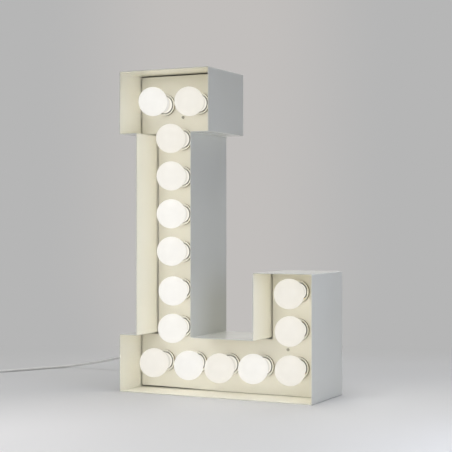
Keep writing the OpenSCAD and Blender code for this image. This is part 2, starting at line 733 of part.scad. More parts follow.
// One bulb: hollow opal envelope, threaded cap, insulator and contact button
globe_r = globe_d / 2;
fillet_far = globe_r + neck_fillet;
fillet_side = neck_r + neck_fillet;
fillet_z = sqrt(fillet_far * fillet_far - fillet_side * fillet_side);
fillet_angle = asin(fillet_side / fillet_far);
function envelope_side(t) = concat(
    [for (k = [0:20]) let(a = k / 20 * (180 - fillet_angle), r = globe_r - t)
        [r * sin(a), -globe_out - r * cos(a)]],
    [for (k = [1:6]) let(a = fillet_angle + (90 - fillet_angle) * k / 6)
        [fillet_side - (neck_fillet + t) * sin(a), fillet_z - globe_out - (neck_fillet + t) * cos(a)]],
    [[neck_r - t, neck_end], [cap_thread_r - thread_h - t / 2, cap_front]]);
module bulb(p) {
    outer = envelope_side(0);
    inner = envelope_side(glass_t);
    root_r = cap_thread_r - thread_h;
    sleeve_r = root_r - cap_wall;
    crests = [for (k = [0:thread_count - 1]) let(z = cap_front + cap_step + k * thread_pitch)
        each [[root_r, z], [cap_thread_r, z + thread_pitch * 0.4], [cap_thread_r, z + thread_pitch * 0.6],
        [root_r, z + thread_pitch]]];
    on_axis(p) {
        color(opal) rotate_extrude() polygon(concat(outer, [for (k = [len(inner) - 1:-1:0]) inner[k]]));
        color(zinc) rotate_extrude() polygon(concat([[sleeve_r, cap_front], [root_r, cap_front]], crests,
            [[root_r, cap_back], [sleeve_r, cap_back]]));
        color("#2c2a28") translate([0, 0, cap_back]) cylinder(r1 = root_r, r2 = insulator_r, h = insulator_t);
        color(zinc) translate([0, 0, button_front]) cylinder(r = button_r, h = button_t);
    }
}

// Sprung centre contact of one holder
module contact(p) {
    color(brass) on_axis(p) translate([0, 0, contact_front]) {
        cylinder(r = contact_r, h = contact_t);
        cylinder(r = stem_r, h = contact_t + stem_l);
    }
}

return_wall();
cover_tabs();
rear_cover();
rear_screws();
lamp_panel();
panel_pillars();
panel_screws();
holder_bodies();
holder_rings();
holder_shells();
contact_springs();
holder_terminals();
live_wire();
neutral_wire();
terminal_block();
cord_cores();
cord_gland();
gland_nut();
strain_relief();
supply_cord();
switch_base();
switch_cover();
switch_contacts();
switch_rocker();
switch_screws();
tail_cord();
cord_coil();
coil_tie();
plug_body();
plug_pins();
for (k = [0:lamp_count - 1]) {
    bulb(lamps[k]);
    contact(lamps[k]);
}
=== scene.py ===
# %% [markdown]
# # A light-up letter L
# The real object is a folded strip of white sheet metal in the outline of a slab-serif L. A panel set
# halfway back carries opal globe lamps, so the letter is a tray of light. The CAD frame holds every
# real size and moves on its joints already, so most shapes are kept. This notebook makes anew only the
# pieces that need a livelier form, and adds the look: camera, paint, glow and studio.

# %% Load the CAD frame
import math

import bmesh
import bpy
import numpy as np
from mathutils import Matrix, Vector


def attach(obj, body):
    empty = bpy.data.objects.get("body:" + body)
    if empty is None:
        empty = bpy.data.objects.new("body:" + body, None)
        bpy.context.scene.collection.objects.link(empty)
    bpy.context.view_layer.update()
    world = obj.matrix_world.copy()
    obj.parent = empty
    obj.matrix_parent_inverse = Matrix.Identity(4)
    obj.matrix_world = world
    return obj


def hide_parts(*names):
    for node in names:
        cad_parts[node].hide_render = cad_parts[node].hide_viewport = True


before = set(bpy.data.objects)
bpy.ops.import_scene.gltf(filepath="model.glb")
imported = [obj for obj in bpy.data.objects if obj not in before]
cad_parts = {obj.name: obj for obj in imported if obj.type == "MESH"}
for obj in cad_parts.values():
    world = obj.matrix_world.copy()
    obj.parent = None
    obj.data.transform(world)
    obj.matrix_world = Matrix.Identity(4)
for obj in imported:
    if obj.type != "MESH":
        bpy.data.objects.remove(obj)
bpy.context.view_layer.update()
scene = bpy.context.scene

# %% [markdown]
# The camera comes first, because the cord is laid out so that it crosses the picture where the
# photograph shows it. A camera that looks up or down makes uprights lean. This one is level, at half
# the letter's height, so they stay parallel. A long lens from the letter's right keeps near and far
# parts close in size, as in the photograph.

# %% Camera
camera_data = bpy.data.cameras.new("camera")
camera_data.sensor_width = 36.0
camera_data.lens = 97.05
camera = bpy.data.objects.new("camera", camera_data)
camera.location = (1.00613, -2.02540, 0.31800)
camera.rotation_mode = "QUATERNION"
camera.rotation_quaternion = Vector((-0.44760, 0.89423, -0.00324)).to_track_quat("-Z", "Y")
scene.collection.objects.link(camera)
scene.camera = camera
scene.view_settings.view_transform = "Standard"
print("camera lens", camera_data.lens)

# %% [markdown]
# The places of the lamps, of the panel and of the cord's exit are in the CAD frame. They could be typed
# again, but a change to the CAD would then leave the scene behind, so they are measured from the boxes
# of the nodes.

# %% Places in the frame
FLATS, LAMP_COUNT = 0.00005, 15


def node_box(name):
    """Lowest and highest corner of a CAD node at rest."""
    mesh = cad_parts[name].data
    spots = np.zeros(3 * len(mesh.vertices))
    mesh.vertices.foreach_get("co", spots)
    spots = spots.reshape(-1, 3)
    return spots.min(0), spots.max(0)


def node_middle(name):
    """Middle of a CAD node's box, to a twentieth of a millimetre, because its round parts are cut into
    flats: half the sum of its two corners."""
    low, high = node_box(name)
    return np.round((low + high) / 2 / FLATS) * FLATS


LAMPS = [node_middle(f"bulb_{k:02d}")[[0, 2]] for k in range(1, LAMP_COUNT + 1)]
PANEL_Y = round(float(node_box("lamp_panel")[0][1]), 5)
EXIT = node_middle("cord_gland")
EXIT[1] = round(float(node_box("rear_cover")[1][1]), 5)
print("lamps", len(LAMPS), "panel", PANEL_Y, "cord exit", EXIT.round(4).tolist())

# %% [markdown]
# Cord and globes are swept or turned shapes. A bevelled curve or the Spin tool could make them, but
# then one ring's own glow or finish is hard to set. Here each is one grid of points: rows run along the
# piece, and columns close into rings.

# %% Curves and tubes
def through(points, n):
    """Smooth curve through the points: between two neighbours, a cubic whose end slopes are half the
    distance between the points on either side, cut into n steps."""
    p = np.asarray(points, float)
    padded = np.vstack([p[:1], p, p[-1:]])
    a, b, c, d = (padded[k:k + len(p) - 1, None] for k in range(4))
    t = (np.arange(n) / n)[:, None]
    curve = (b + (c - a) * t / 2 + (2 * a - 5 * b + 4 * c - d) * t**2 / 2
             + (3 * b - a - 3 * c + d) * t**3 / 2)
    return np.vstack([curve.reshape(-1, 3), p[-1:]])


def tube_grid(path, radius, sides):
    """Ring of points round every point of a path: radius times the cosine of the angle to the side,
    plus radius times its sine upwards, square to the path's direction there."""
    ahead = np.vstack([path[1:], path[-1:]]) - np.vstack([path[:1], path[:-1]])
    ahead /= np.linalg.norm(ahead, axis=1)[:, None]
    side = np.cross(ahead, [0, 0, 1.0])
    side /= np.linalg.norm(side, axis=1)[:, None]
    rise = np.cross(side, ahead)
    a = np.linspace(0, 2 * np.pi, sides, endpoint=False)[None, :, None]
    return path[:, None] + radius * (np.cos(a) * side[:, None] + np.sin(a) * rise[:, None])


def eased(s):
    """Smooth step of a share between 0 and 1: three times its square less twice its cube."""
    s = np.clip(s, 0, 1)
    return s * s * (3 - 2 * s)


print("curve tools ready")

# %% [markdown]
# A grid becomes a mesh when every four neighbouring points carry a quad. Adding faces one by one is
# slow in Python, so the quads are worked out as one array. A number for each point, stored as an
# attribute, lets a material read the glow of a ring by name.

# %% Skins
def ring_quads(rows, cols):
    """Numbers of a grid's points, and the quads between its rows; the last column joins the first."""
    k = np.arange(rows * cols).reshape(rows, cols)
    beside = np.roll(k, -1, 1)
    return k, np.stack([k[:-1], beside[:-1], beside[1:], k[1:]], -1).reshape(-1, 4)


def skin(name, grid, materials, row_material=None):
    """Quads over a grid of points whose columns close into rings, with a flat cap on each end.
    row_material gives each row of quads the number of its material."""
    rows, cols = grid.shape[:2]
    k, quads = ring_quads(rows, cols)
    mesh = bpy.data.meshes.new(name)
    mesh.from_pydata(grid.reshape(-1, 3).tolist(), [],
                     quads.tolist() + [k[0].tolist(), k[-1].tolist()])
    if row_material is not None:
        slots = np.append(np.repeat(row_material, cols), [row_material[0], row_material[-1]])
        mesh.polygons.foreach_set("material_index", slots.astype(np.int32))
    mesh.polygons.foreach_set("use_smooth", np.ones(len(mesh.polygons), bool))
    for material in materials:
        mesh.materials.append(material)
    work = bmesh.new()
    work.from_mesh(mesh)
    bmesh.ops.recalc_face_normals(work, faces=work.faces)
    work.to_mesh(mesh)
    work.free()
    piece = bpy.data.objects.new(name, mesh)
    scene.collection.objects.link(piece)
    return piece


def grid_attribute(piece, name, values):
    """One number for every point of a piece, which its material can read by name."""
    attribute = piece.data.attributes.new(name, "FLOAT", "POINT")
    attribute.data.foreach_set("value", np.asarray(values, np.float32).ravel())


print("skin tools ready")

# %% [markdown]
# Paint, glass and plastic differ in how much they scatter, how sharply they mirror and how even they
# are. Materials can be built by hand in the shader editor; here one function adds a node with its
# settings and links, so that a material reads from top to bottom like a recipe.

# %% Material tools
MM = 1000
COLOUR = {"out": 2, "data_type": "RGBA"}


def linear(code):
    """Linear light from an sRGB code of two digits a channel: a share under 0.04045 is divided by
    12.92, and the rest is moved by 0.055, divided by 1.055 and raised to the power 2.4."""
    parts = [int(code[k:k + 2], 16) / 255 for k in (1, 3, 5)]
    return [v / 12.92 if v <= 0.04045 else ((v + 0.055) / 1.055) ** 2.4 for v in parts] + [1.0]


def add(tree, kind, inputs=None, out=0, **settings):
    """Adds one node, with its settings, its constants and its links from other nodes' outputs, and
    gives back the output that is asked for."""
    node = tree.nodes.new("ShaderNode" + kind)
    for key, value in settings.items():
        setattr(node, key, value)
    for key, value in (inputs or {}).items():
        if isinstance(value, bpy.types.NodeSocket):
            tree.links.new(value, node.inputs[key])
        else:
            node.inputs[key].default_value = value
    return node.outputs[out] if node.outputs else None


def new_tree(name):
    """Empty material and its tree of nodes."""
    material = bpy.data.materials.new(name)
    material.use_nodes = True
    material.node_tree.nodes.clear()
    return material, material.node_tree


print("material tools ready")

# %% [markdown]
# Opal glass is blown with a white layer that scatters the filament's light, so a lit globe is an even
# white disc, a little dimmer at its rim. Real scattering through the glass would be slow and grainy.
# Here the glass glows by itself under a soft clear coat, which dims the rim, and a small light inside
# each globe lights the tray. The glass itself isn't sampled as a lamp, so nothing is lit twice.

# %% Opal glass
CLOUD_MM, CLOUD_LOW, CLOUD_HIGH = 18, 0.97, 1.03


def opal_glass():
    """Dark base tone, because the light comes from within; the glow is the ring's own number times a
    faint cloudiness; the tint goes from cool white to warm white by the bulb's warmth."""
    material, tree = new_tree("opal glass, blown and lit")
    place = add(tree, "TexCoord", out="Object")
    warmth = add(tree, "Attribute", out="Fac", attribute_name="warmth")
    glow = add(tree, "Attribute", out="Fac", attribute_name="glow")
    tint = add(tree, "Mix", {0: warmth, 6: linear("#fffefa"), 7: linear("#fdf9ef")}, **COLOUR)
    cloud = add(tree, "TexNoise", {"Vector": place, "Scale": MM / CLOUD_MM, "Detail": 2.0})
    level = add(tree, "MapRange", {"Value": cloud, "To Min": CLOUD_LOW, "To Max": CLOUD_HIGH})
    power = add(tree, "Math", {0: glow, 1: level}, operation="MULTIPLY")
    shader = add(tree, "BsdfPrincipled", {
        "Base Color": linear("#433c30"), "Roughness": 0.45, "Specular IOR Level": 0.0,
        "Coat Weight": 1.0, "Coat Roughness": 0.5, "Coat IOR": 1.5,
        "Emission Color": tint, "Emission Strength": power})
    add(tree, "OutputMaterial", {"Surface": shader})
    return material


opal = opal_glass()
opal.cycles.emission_sampling = "NONE"
print("glass", opal.name)

# %% [markdown]
# Every other finish here is a coat or a moulded skin: two near tones in soft patches, a sheen that
# varies a little, and a fine grain. Image textures could show that, but they need unwrapping. Noise in
# the piece's own coordinates needs none and stays sharp at any distance.

# %% Recipe for coats and moulded skins
SHEEN_SHARE = 0.6


def coated(name, light, dark, patch_mm, rough, spread, grain_mm, height_mm, metallic=0.0):
    """Tone between dark and light by a noise of patch_mm, roughness within spread of rough by a noise
    of 0.6 times that size, and a bump of height_mm by a noise of grain_mm."""
    material, tree = new_tree(name)
    place = add(tree, "TexCoord", out="Object")
    patch = add(tree, "TexNoise", {"Vector": place, "Scale": MM / patch_mm, "Detail": 2.0})
    tone = add(tree, "Mix", {0: patch, 6: linear(dark), 7: linear(light)}, **COLOUR)
    haze = add(tree, "TexNoise", {"Vector": place, "Scale": MM / (patch_mm * SHEEN_SHARE),
                                  "Detail": 2.0})
    sheen = add(tree, "MapRange", {"Value": haze, "To Min": rough - spread, "To Max": rough + spread})
    pits = add(tree, "TexNoise", {"Vector": place, "Scale": MM / grain_mm, "Detail": 2.0})
    grain = add(tree, "Bump", {"Height": pits, "Distance": height_mm / MM, "Strength": 1.0})
    shader = add(tree, "BsdfPrincipled", {"Base Color": tone, "Roughness": sheen,
                                          "Metallic": metallic, "Normal": grain})
    add(tree, "OutputMaterial", {"Surface": shader})
    return material


print("recipe ready")

# %% [markdown]
# The metal is sprayed with enamel: one white on the wall and cover, and a flatter white on the panel.
# The wall's white is drawn in two copies: inside the tray lighter and cream, which is painted warm lamp
# light, and outside a little darker, which is painted shade. One paint for all would be simpler, but
# the photograph shows the inside warmer than the lamps alone make it.

# %% Enamels
# Sprayed enamel shows the eye an even tone and soft mirror images, broken by a faint orange peel with
# waves about 2 mm long.
PEEL = dict(grain_mm=2.2, height_mm=0.004)
# Outside copy of the wall's white, a little darker than the inside: painted shade.
outside_paint_with_painted_shade = coated("white gloss enamel outside, darkened as painted shade", "#e7e7df", "#e3e3da",
                     patch_mm=90, rough=0.15, spread=0.02, **PEEL)
# Inside copy of the same white, lighter and cream: painted warm lamp light.
tray_paint_with_painted_light = coated("cream gloss enamel, sprayed inside", "#f4f2e5", "#f0eddd",
                    patch_mm=90, rough=0.23, spread=0.025, **PEEL)
# The panel took a thinner coat: it hardly mirrors, so the glow spreads over it evenly.
cream_paint = coated("white satin enamel, sprayed on the panel", "#e6e3d6", "#e1ddce",
                     patch_mm=70, rough=0.34, spread=0.04, **PEEL)
print("enamels", outside_paint_with_painted_shade.name, tray_paint_with_painted_light.name, cream_paint.name)

# %% [markdown]
# The small metal pieces are drawn, turned or plated. Their marks are hundredths of a millimetre wide,
# too fine to show here, so the grain of each is drawn at about half a millimetre.

# %% Metals
MARKS = dict(height_mm=0.01)
# Plated brass caps and pins: bright, slightly yellow, with soft streaks of reflection.
nickel = coated("nickel-plated brass, drawn", "#c9c6be", "#bdb9b0",
                patch_mm=6, rough=0.36, spread=0.06, grain_mm=0.6, metallic=1.0, **MARKS)
# Bare drawn brass: warm yellow, with darker patches where it has tarnished.
brass = coated("brass, drawn", "#d3b36a", "#c29f55",
               patch_mm=8, rough=0.36, spread=0.07, grain_mm=0.7, metallic=1.0, **MARKS)
# Zinc-plated steel: cool grey, with a cloudy sheen.
zinc = coated("zinc-plated steel, turned", "#b4b6b4", "#a3a5a3",
              patch_mm=4, rough=0.38, spread=0.08, grain_mm=0.5, metallic=1.0, **MARKS)
# The panel's screw heads: zinc under overspray, so most of what they show is a dull grey skin.
dull_zinc = coated("zinc-plated steel under overspray", "#b3b0a3", "#a19e91",
                   patch_mm=3, rough=0.45, spread=0.08, grain_mm=0.5, metallic=0.35, **MARKS)
print("metals", nickel.name, brass.name, zinc.name, dull_zinc.name)

# %% [markdown]
# Holders, wires, cord, switch and plug are ceramic and plastics. The mould's or die's texture is about
# a tenth of a millimetre, too fine to show here, so each grain is drawn at half a millimetre or more.

# %% Ceramic and plastics
FINE = dict(height_mm=0.004)
# Painted shade: a dull dark brown on the ring nuts' sides stands in for the shade round the nuts, and
# gives the thin dark arcs behind the necks.
nut_side_shade = coated("dark brown painted shade, on the ring nuts' sides", "#766849", "#67593d",
                  patch_mm=5, rough=0.40, spread=0.05, grain_mm=0.8, **FINE)
# Glazed porcelain: a warm white with a wide, soft gleam.
porcelain = coated("white porcelain, glazed", "#e8e6dc", "#e3e0d4",
                   patch_mm=12, rough=0.34, spread=0.05, grain_mm=0.8, **FINE)
# Extruded PVC on the wires: plain colours, slightly dusty.
WIRE = dict(rough=0.45, spread=0.06, grain_mm=0.5, **FINE)
brown_wire = coated("brown PVC insulation, extruded", "#6d4630", "#5f3c29", patch_mm=10, **WIRE)
blue_wire = coated("blue PVC insulation, extruded", "#466a9a", "#3d5f8c", patch_mm=10, **WIRE)
core_wire = coated("grey PVC insulation, extruded", "#aaa493", "#9d9787", patch_mm=6, **WIRE)
# Moulded polyamide: off-white and matt, as terminal blocks and glands are.
block_plastic = coated("white polyamide, moulded", "#d8d5cb", "#cfcbc0",
                       patch_mm=8, rough=0.48, spread=0.06, grain_mm=0.6, **FINE)
gland_plastic = coated("pale grey polyamide, moulded", "#d6d5d0", "#cccbc5",
                       patch_mm=8, rough=0.50, spread=0.06, grain_mm=0.6, height_mm=0.006)
# Extruded PVC round the cord: pale grey, with a dull gleam along its length.
cord_sheath = coated("pale grey PVC sheath, extruded", "#e4e4e2", "#d9d9d6",
                     patch_mm=14, rough=0.46, spread=0.06, grain_mm=0.7, height_mm=0.006)
# Moulded rubber: dark, and nearly without gleam.
tie_rubber = coated("dark grey rubber, moulded", "#55575a", "#4b4d50",
                    patch_mm=6, rough=0.55, spread=0.06, grain_mm=0.5, height_mm=0.006)
# Moulded ABS: clean white; the rocker comes from a polished mould and gleams more.
white_plastic = coated("white ABS, moulded", "#e8e8e4", "#e1e1dc",
                       patch_mm=15, rough=0.34, spread=0.05, grain_mm=0.5, height_mm=0.003)
rocker_plastic = coated("white ABS, moulded and polished", "#f1f0ea", "#eae9e2",
                        patch_mm=8, rough=0.22, spread=0.04, grain_mm=0.5, height_mm=0.003)
print("materials", len(bpy.data.materials))

# %% [markdown]
# The cord is one line from the gland to the plug. Its free stretch follows the photograph, drooping
# from the letter's back to the floor and out of the picture at the left. The rest could lie straight,
# but it would reach far past the letter. It is wound in two flat layers just past the picture's edge
# instead: in along one spiral, up half a turn, and out along the next.

# %% Route of the cord
CORD_D, CORD_SIDES, CORD_STEPS = 0.0055, 18, 4
STRAIGHT_OUT = [-0.010, 0, 0.005, 0.045]
LAID = [[-0.160, 0.134, 0.046], [-0.167, 0.156, 0.0455], [-0.184, 0.177, 0.045],
        [-0.210, 0.193, 0.0435], [-0.240, 0.202, 0.041], [-0.275, 0.206, 0.038],
        [-0.308, 0.206, 0.0345], [-0.338, 0.205, 0.031], [-0.366, 0.204, 0.0275],
        [-0.404, 0.204, 0.019], [-0.444, 0.204, 0.0115], [-0.480, 0.199, 0.0055],
        [-0.508, 0.178, 0.0029], [-0.528, 0.141, 0.0029], [-0.541, 0.116, 0.0029],
        [-0.555, 0.091, 0.0029], [-0.572, 0.062, 0.0029], [-0.581, 0.047, 0.0036],
        [-0.590, 0.033, 0.006]]
SWITCH_AT, SWITCH_TURN = np.array([-0.638, -0.044]), math.radians(238)
SWITCH_L, SWITCH_Z = 0.066, 0.0095
IN_SWITCH = [-0.044, -0.033, 0, 0.033, 0.0385]
TAIL_L, TAIL_STOPS, PLUG_LEAD = 0.044, [-0.011, -0.0055], 0.030
COIL_PITCH, COIL_R, COIL_TURNS, COIL_LOW, COIL_STEPS = 0.0061, 0.031, 2.5, 0.0044, 36
CLIMB = 0.5


def along(at, turn, s, z):
    """Points at distances s from a place on the floor, at height z: the place plus s times the cosine
    and the sine of an angle."""
    s = np.asarray(s, float)
    return np.stack(np.broadcast_arrays(at[0] + s * np.cos(turn), at[1] + s * np.sin(turn), z), -1)


def coil_line(t, middle):
    """Coil's line at turns t: an angle of one full circle a turn, at a radius that shrinks by one
    pitch a turn to the middle of the climb and grows again after it, on a height that rises by one
    pitch along a smooth step through the half turn between the layers."""
    half = COIL_TURNS + CLIMB / 2
    radius = COIL_R + COIL_PITCH * COIL_TURNS / 2 - COIL_PITCH * (half - np.abs(t - half))
    height = COIL_LOW + COIL_PITCH * eased((t - COIL_TURNS) / CLIMB)
    return along(middle, SWITCH_TURN - math.pi / 2 + 2 * math.pi * t, radius, height)


coil_entry = along(SWITCH_AT, SWITCH_TURN, SWITCH_L / 2 + TAIL_L, COIL_LOW)
coil_middle = along(coil_entry, SWITCH_TURN + math.pi / 2, COIL_R + COIL_PITCH * COIL_TURNS / 2, 0)
coil_all = 2 * COIL_TURNS + CLIMB
coil = coil_line(np.arange(round(COIL_STEPS * coil_all) + 1) / COIL_STEPS, coil_middle)
free = np.vstack([
    EXIT + np.outer(STRAIGHT_OUT, [0, 1, 0]), LAID,
    along(SWITCH_AT, SWITCH_TURN, IN_SWITCH, SWITCH_Z),
    along(SWITCH_AT, SWITCH_TURN, SWITCH_L / 2 + TAIL_L / 2, (SWITCH_Z + COIL_LOW) / 2),
    along(coil_entry, SWITCH_TURN, TAIL_STOPS, COIL_LOW)])
lead = along(coil[-1], SWITCH_TURN + 2 * math.pi * coil_all, [PLUG_LEAD / 2, PLUG_LEAD], coil[-1][2])
route = np.vstack([through(free, CORD_STEPS), coil, lead])

# %% [markdown]
# On the real lamp the cord is one piece of two-core lead. A curve with a round bevel would do; here a
# tube of rings is laid round the route's points.

# %% Cord
cord = skin("cord", tube_grid(route, CORD_D / 2, CORD_SIDES), [cord_sheath])
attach(cord, "letter")
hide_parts("supply_cord", "tail_cord", "cord_coil")
print("cord faces", len(cord.data.polygons))

# %% [markdown]
# A globe is a sphere that runs through a hollow curve into a straight neck; behind the ring nut the
# glass narrows to the threaded cap. A sphere and a cylinder joined by a Boolean would leave a hard
# seam, so the whole outline is one profile, turned about the bulb's axis. Each ring has its own glow,
# and along the neck that glow carries painted light: it dims through the hollow curve as painted shade,
# the neck shines again as a painted highlight of the globe's light on it, and the last rows inside the
# ring nut go nearly dark as painted shade in the nut's mouth.

# %% Outline of a bulb
# Radii and depths in metres; a depth counts from the panel's face to the back.
GLOBE_R, GLOBE_OUT, NECK_R, FILLET = 0.0272, 0.045, 0.0155, 0.004
NECK_FRONT, NECK_BACK, NECK_END = -0.0195, -0.0055, [-0.004, -0.001]
TAPER = np.array([[0.0150, 0.0035], [0.0124, 0.0060]])
CAP_R, THREAD_H, THREAD_PITCH, CAP_FROM, CAP_TO = 0.0127, 0.0004, 0.00362, 0.0062, 0.0270
TIP = np.array([[0.0123, 0.0271], [0.0055, 0.0305], [0.0048, 0.0306], [0.0048, 0.0316],
                [0.00002, 0.0317]])
# Glow at the curve's two ends (painted shade), the neck's painted highlight, and the painted shade of
# the two rows inside the nut.
CURVE_GLOW_PAINTED_SHADE, NECK_PAINTED_HIGHLIGHT, END_GLOW_PAINTED_SHADE = (0.95, 0.82), 0.28, [0.3, 0.05]
NECK_LIT, NECK_LIT_OVER = -0.0125, 0.004
POLE, BALL_ROWS, CURVE_ROWS, NECK_ROWS, CAP_ROWS = 0.002, 44, 10, 12, 60


def globe_profile():
    """Radius and depth behind the panel's face, from the pole to the contact button, with the glow of
    each ring and its material: an arc of the sphere, an arc of the hollow curve that touches both
    sphere and neck, the neck, the taper, and a cap whose thread is a cosine of one pitch."""
    far, aside = GLOBE_R + FILLET, NECK_R + FILLET
    back = math.sqrt(far**2 - aside**2)
    meet = math.asin(aside / far)
    a = np.linspace(POLE, math.pi - meet, BALL_ROWS)
    ball = np.stack([GLOBE_R * np.sin(a), -GLOBE_OUT - GLOBE_R * np.cos(a)], 1)
    b = np.linspace(meet, math.pi / 2, CURVE_ROWS)[1:]
    curve = np.stack([aside - FILLET * np.sin(b), back - GLOBE_OUT - FILLET * np.cos(b)], 1)
    depth = np.linspace(NECK_FRONT, NECK_BACK, NECK_ROWS)
    neck = np.append(depth, NECK_END)
    neck = np.stack([np.full(len(neck), NECK_R), neck], 1)
    t = np.linspace(CAP_FROM, CAP_TO, CAP_ROWS)
    cap = np.stack([CAP_R + THREAD_H * np.cos(2 * np.pi * t / THREAD_PITCH), t], 1)
    # Full glow on the ball, then painted shade through the curve, a painted highlight on the neck and
    # painted shade inside the nut.
    glow = np.concatenate([np.full(len(ball), 1.0), np.linspace(*CURVE_GLOW_PAINTED_SHADE, len(curve)),
                           CURVE_GLOW_PAINTED_SHADE[1] + NECK_PAINTED_HIGHLIGHT * eased((depth - NECK_LIT) / NECK_LIT_OVER),
                           END_GLOW_PAINTED_SHADE, np.zeros(len(TAPER) + len(cap) + len(TIP))])
    rings = np.vstack([ball, curve, neck, TAPER, cap, TIP])
    glass_rows = len(ball) + len(curve) + len(neck) + len(TAPER) - 1
    return rings, glow, np.where(np.arange(len(rings) - 1) < glass_rows, 0, 1)


rings, ring_glow, ring_material = globe_profile()
print("rings on a bulb", len(rings))

# %% [markdown]
# Real bulbs seldom stand straight in their holders. Turning each object would take its cap out of the
# thread, so the points themselves lean, by an angle that eases in along the neck. How far each globe
# leans, how warm it is and how strongly it burns are read from the photograph, lamp by lamp.

# %% Lean, warmth and power
NUT_MOUTH, LEAN_OVER = 0.004, 0.012
# To the right and up, lamp by lamp: two in the cap, six down the stem, five along the arm and two up
# the upstand.
LEAN_MM = [(-3.3, 3.2), (0, 0.3), (-2.1, -0.6), (-1.1, 0.3), (-0.9, 0.5), (-0.4, 1.4), (3.2, -1.7),
           (1.9, -0.6), (-0.7, -0.2), (4, -1.4), (-1.4, -3.4), (-2, -0.8), (1.6, -0.2), (1.2, 0.4),
           (-0.5, -2.3)]
WARM = [0.1, 0.8, 0.8, 0.5, 0.2, 0.2, 0.1, 0.2, 0.8, 0.1, 0.8, 0.2, 0.8, 0.8, 0.9]
POWER = [1.01, 0.98, 0.98, 1.0, 1.04, 1.03, 1.03, 1.02, 0.96, 1.0, 0.97, 1.0, 0.96, 0.97, 0.95]


def lean(points, x, z, dx, dz):
    """Turns what stands in front of the ring nut about the nut's mouth, by an angle that eases in
    along the neck, so that the globe's middle moves by dx and dz."""
    ahead = PANEL_Y - points[..., 1] - NUT_MOUTH
    ease = eased(ahead / LEAN_OVER)
    out = points.copy()
    for axis, centre, shift in ((0, x, dx), (2, z, dz)):
        angle = np.arcsin(shift / (GLOBE_OUT - NUT_MOUTH)) * ease
        aside = points[..., axis] - centre
        out[..., axis] = centre + aside * np.cos(angle) + ahead * np.sin(angle)
        out[..., 1] += ahead * (1 - np.cos(angle)) + aside * np.sin(angle)
    return out


print("largest lean in mm", max(round(math.hypot(*lean_mm), 1) for lean_mm in LEAN_MM))

# %% [markdown]
# Each bulb is the same profile, turned about its own axis and leant. Linked copies would save memory,
# but every bulb leans and glows in its own way, so each has its own mesh. The globes cast no shadow,
# because the light that stands for the filament sits inside them.

# %% Globes
GLOW, WARM_NECK, GLOBE_SIDES = 0.90, -0.0135, 72
turn = np.linspace(0, 2 * np.pi, GLOBE_SIDES, endpoint=False)
for number, ((x, z), (dx, dz), warm, power) in enumerate(zip(LAMPS, LEAN_MM, WARM, POWER), 1):
    grid = np.stack([x + rings[:, :1] * np.cos(turn),
                     np.repeat(PANEL_Y + rings[:, 1:], len(turn), 1),
                     z + rings[:, :1] * np.sin(turn)], -1)
    globe = skin(f"globe_{number:02d}", lean(grid, x, z, dx / MM, dz / MM), [opal, nickel],
                 ring_material)
    grid_attribute(globe, "glow", np.repeat(GLOW * power * ring_glow, len(turn)))
    # The neck's rows take the warmest tint, the colour of its painted highlight and shade.
    ring_warmth = np.where(rings[:, 1] > WARM_NECK, 1.0, warm)
    grid_attribute(globe, "warmth", np.repeat(ring_warmth, len(turn)))
    globe.visible_shadow = False
    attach(globe, f"bulb_{number:02d}")
    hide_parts(f"bulb_{number:02d}")
print("globes", len(LAMPS))

# %% [markdown]
# The other pieces are sheet metal, screws and mouldings whose CAD shapes are right. They could be built
# again, but a finish is all they lack.

# %% Finishes of the CAD nodes
BULBS = [f"bulb_{k:02d}" for k in range(1, LAMP_COUNT + 1)]
CONTACTS = [f"contact_{k:02d}" for k in range(1, LAMP_COUNT + 1)]
FINISH = {
    outside_paint_with_painted_shade: ["return_wall", "cover_tabs", "rear_cover"],
    cream_paint: ["lamp_panel"],
    porcelain: ["holder_bodies", "holder_rings"],
    brass: ["holder_shells", "holder_terminals", "switch_contacts"] + CONTACTS,
    zinc: ["rear_screws", "panel_pillars", "contact_springs", "switch_screws"],
    dull_zinc: ["panel_screws"],
    brown_wire: ["live_wire"], blue_wire: ["neutral_wire"], core_wire: ["cord_cores"],
    block_plastic: ["terminal_block"], gland_plastic: ["cord_gland", "gland_nut"],
    cord_sheath: ["strain_relief", "supply_cord", "tail_cord", "cord_coil"],
    tie_rubber: ["coil_tie"],
    white_plastic: ["switch_base", "switch_cover", "plug_body"],
    rocker_plastic: ["switch_rocker"],
    nickel: ["plug_pins"], opal: BULBS,
}
for material, names in FINISH.items():
    for name in names:
        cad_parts[name].data.materials.clear()
        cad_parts[name].data.materials.append(material)
print("finished nodes", sum(len(names) for names in FINISH.values()))

# %% [markdown]
# Two nodes carry two finishes. The wall's inside faces get the lighter, creamier copy of its white,
# which is painted warm lamp light: a face is inside when a step along its normal stays within the
# letter's outline, which is four rectangles. The ring nuts are white in front, and their sides carry a
# dark brown which is painted shade. Splitting the meshes would do too, but a second material on the
# chosen faces leaves the CAD shapes alone.

# %% Second finishes
# Left, bottom, right and top of the cap, the stem, the arm and the upstand.
OUTLINE = np.array([[-0.195, 0.482, -0.007, 0.600], [-0.159, 0.100, -0.043, 0.490],
                    [-0.195, 0.0, 0.195, 0.108], [0.081, 0.100, 0.195, 0.228]])
PROBE, FLAT = 0.002, 0.5


def face_values(piece, name):
    """Three numbers of every face of a piece, such as its middle or its normal."""
    values = np.zeros(3 * len(piece.data.polygons))
    piece.data.polygons.foreach_get(name, values)
    return values.reshape(-1, 3)


def paint_faces(piece, material, chosen):
    """Gives a second material to the chosen faces."""
    piece.data.materials.append(material)
    piece.data.polygons.foreach_set("material_index", chosen.astype(np.int32))


